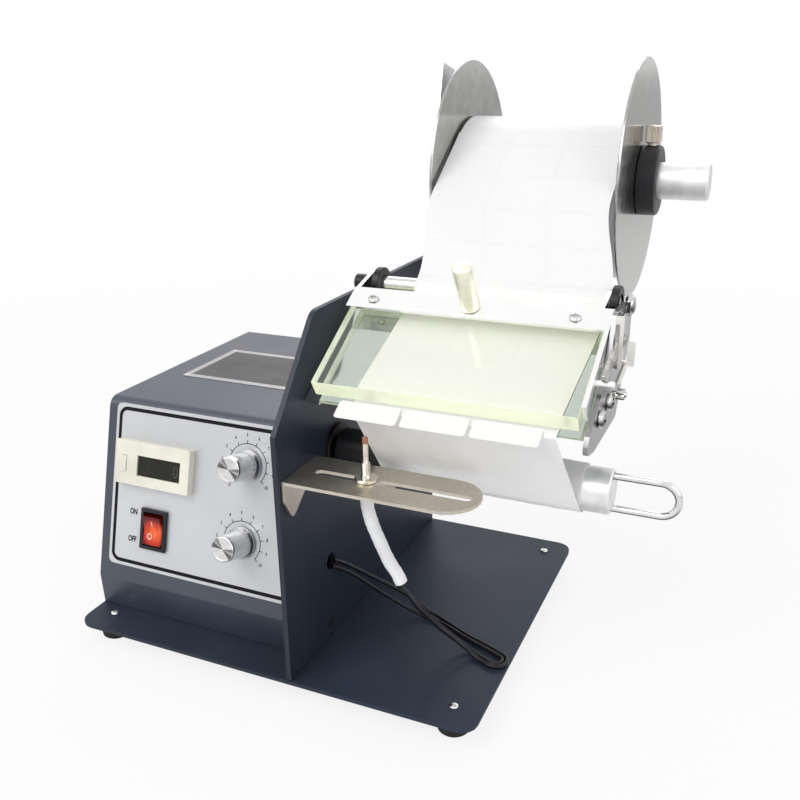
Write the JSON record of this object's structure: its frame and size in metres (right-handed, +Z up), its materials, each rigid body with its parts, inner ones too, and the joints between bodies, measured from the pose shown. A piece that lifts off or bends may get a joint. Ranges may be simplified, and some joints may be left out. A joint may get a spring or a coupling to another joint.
{
  "type": "label_dispenser",
  "caption": "Desktop electric label dispenser with a peel table, hinged clear cover, label roll on a rod, take-up shaft with wire clip and a control case",
  "frame": {"origin": "on the desk under the middle of the machine's bounding box", "axes": "+X from the control case towards the wire clip, +Y from the front to the back, +Z up"},
  "size_m": [0.2922, 0.2606, 0.2858],
  "materials": {
    "charcoal_paint": "dark blue-grey fine-textured semi-gloss powder coat",
    "stainless": "bright stainless steel sheet and screws",
    "aluminium": "turned aluminium",
    "nickel": "warm nickel plate",
    "bronze": "plain bronze bearing",
    "foot_rubber": "matt black rubber",
    "black_plastic": "matt black plastic",
    "panel_film": "silver-grey printed plate",
    "cream_plastic": "cream moulded plastic",
    "red_plastic": "translucent red plastic",
    "clear_acrylic": "clear acrylic with a yellow-green tint",
    "label_stock": "white label stock on backing paper",
    "card": "brown card tube",
    "motor_steel": "grey motor and gearbox casing",
    "circuit_green": "green circuit board",
    "white_sleeve": "white shrink sleeve",
    "black_lead": "black plastic jacket"
  },
  "bodies": {
    "root": {"arm_screw_high": "stainless", "arm_screw_low": "stainless", "base_plate": "charcoal_paint", "bracket_screw_front": "stainless", "bracket_screw_rear": "stainless", "case_cover": "charcoal_paint", "control_board": "circuit_green", "counter_housing": "cream_plastic", "drive_motor": "motor_steel", "end_bracket": "stainless", "face_panel": "panel_film", "foot_front_left": "foot_rubber", "foot_front_right": "foot_rubber", "foot_rear_left": "foot_rubber", "foot_rear_right": "foot_rubber", "foot_screw_front_left": "stainless", "foot_screw_front_right": "stainless", "foot_screw_rear_left": "stainless", "foot_screw_rear_right": "stainless", "front_labels": "label_stock", "gearbox": "motor_steel", "guide_rod": "stainless", "guide_rod_nut": "stainless", "inner_disc": "stainless", "label_paper": "label_stock", "length_potentiometer": "motor_steel", "peel_table": "stainless", "power_inlet": "black_plastic", "rear_panel": "charcoal_paint", "reel_rod": "aluminium", "right_collar": "black_plastic", "rocker_bezel": "black_plastic", "roll_arm": "stainless", "sensor_bracket": "nickel", "sensor_lead_left": "black_lead", "sensor_lead_right": "black_lead", "shaft_bearing": "bronze", "side_plate": "charcoal_paint", "speed_potentiometer": "motor_steel"},
    "take_up": {"take_up_shaft": "aluminium", "wound_backing": "label_stock"},
    "clip": {"wire_clip": "stainless"},
    "roll": {"label_roll": "label_stock", "roll_core": "card"},
    "disc_slider": {"outer_disc": "stainless", "disc_hub": "black_plastic"},
    "hub_screw": {"thumb_screw": "nickel"},
    "cover": {"cover_sheet": "stainless", "clear_block": "clear_acrylic", "lift_handle": "stainless", "cover_screw_left": "stainless", "cover_screw_right": "stainless"},
    "latch": {"latch_lever": "nickel"},
    "left_guide": {"left_collar": "black_plastic"},
    "sensor": {"sensor_barrel": "nickel", "lead_sleeve": "white_sleeve"},
    "rocker": {"rocker_button": "red_plastic"},
    "length_dial": {"length_knob": "aluminium"},
    "speed_dial": {"speed_knob": "aluminium"},
    "reset": {"reset_button": "cream_plastic"}
  },
  "joints": [
    {"name": "take_up_turn", "type": "hinge", "parent": "root", "child": "take_up", "pos_m": [0.04345, -0.07525, 0.1103], "axis": [1, 0, 0], "continuous": true},
    {"name": "clip_pull", "type": "slide", "parent": "take_up", "child": "clip", "axis": [1, 0, 0], "range_m": [0, 0.05]},
    {"name": "roll_turn", "type": "hinge", "parent": "root", "child": "roll", "pos_m": [0.04685, 0.06875, 0.21411], "axis": [1, 0, 0], "continuous": true},
    {"name": "disc_slide", "type": "slide", "parent": "root", "child": "disc_slider", "axis": [1, 0, 0], "range_m": [0, 0.023]},
    {"name": "hub_screw_turn", "type": "hinge", "parent": "disc_slider", "child": "hub_screw", "pos_m": [0.09985, 0.06875, 0.24631], "axis": [0, 0, 1], "range_deg": [0, 720]},
    {"name": "cover_hinge", "type": "hinge", "parent": "root", "child": "cover", "pos_m": [0.04845, -0.04247, 0.18441], "axis": [-1, 0, 0], "range_deg": [0, 75]},
    {"name": "latch_turn", "type": "hinge", "parent": "root", "child": "latch", "pos_m": [0.11305, -0.06227, 0.17431], "axis": [-1, 0, 0], "range_deg": [0, 40]},
    {"name": "left_guide_slide", "type": "slide", "parent": "root", "child": "left_guide", "axis": [1, 0, 0], "range_m": [-0.0016, 0.014]},
    {"name": "sensor_slide", "type": "slide", "parent": "root", "child": "sensor", "axis": [1, 0, 0], "range_m": [-0.022, 0.046]},
    {"name": "rocker_tip", "type": "hinge", "parent": "root", "child": "rocker", "pos_m": [-0.11075, -0.10313, 0.05922], "axis": [1, 0, 0], "range_deg": [-14, 0]},
    {"name": "length_dial_turn", "type": "hinge", "parent": "root", "child": "length_dial", "pos_m": [-0.05775, -0.10051, 0.10254], "axis": [0, -0.9646, 0.2637], "range_deg": [-150, 150]},
    {"name": "speed_dial_turn", "type": "hinge", "parent": "root", "child": "speed_dial", "pos_m": [-0.05775, -0.1108, 0.06492], "axis": [0, -0.9646, 0.2637], "range_deg": [-150, 150]},
    {"name": "reset_press", "type": "slide", "parent": "root", "child": "reset", "axis": [0, 0.9646, -0.2637], "range_m": [0, 0.0008], "stiffness_N_per_m": 300}
  ]
}
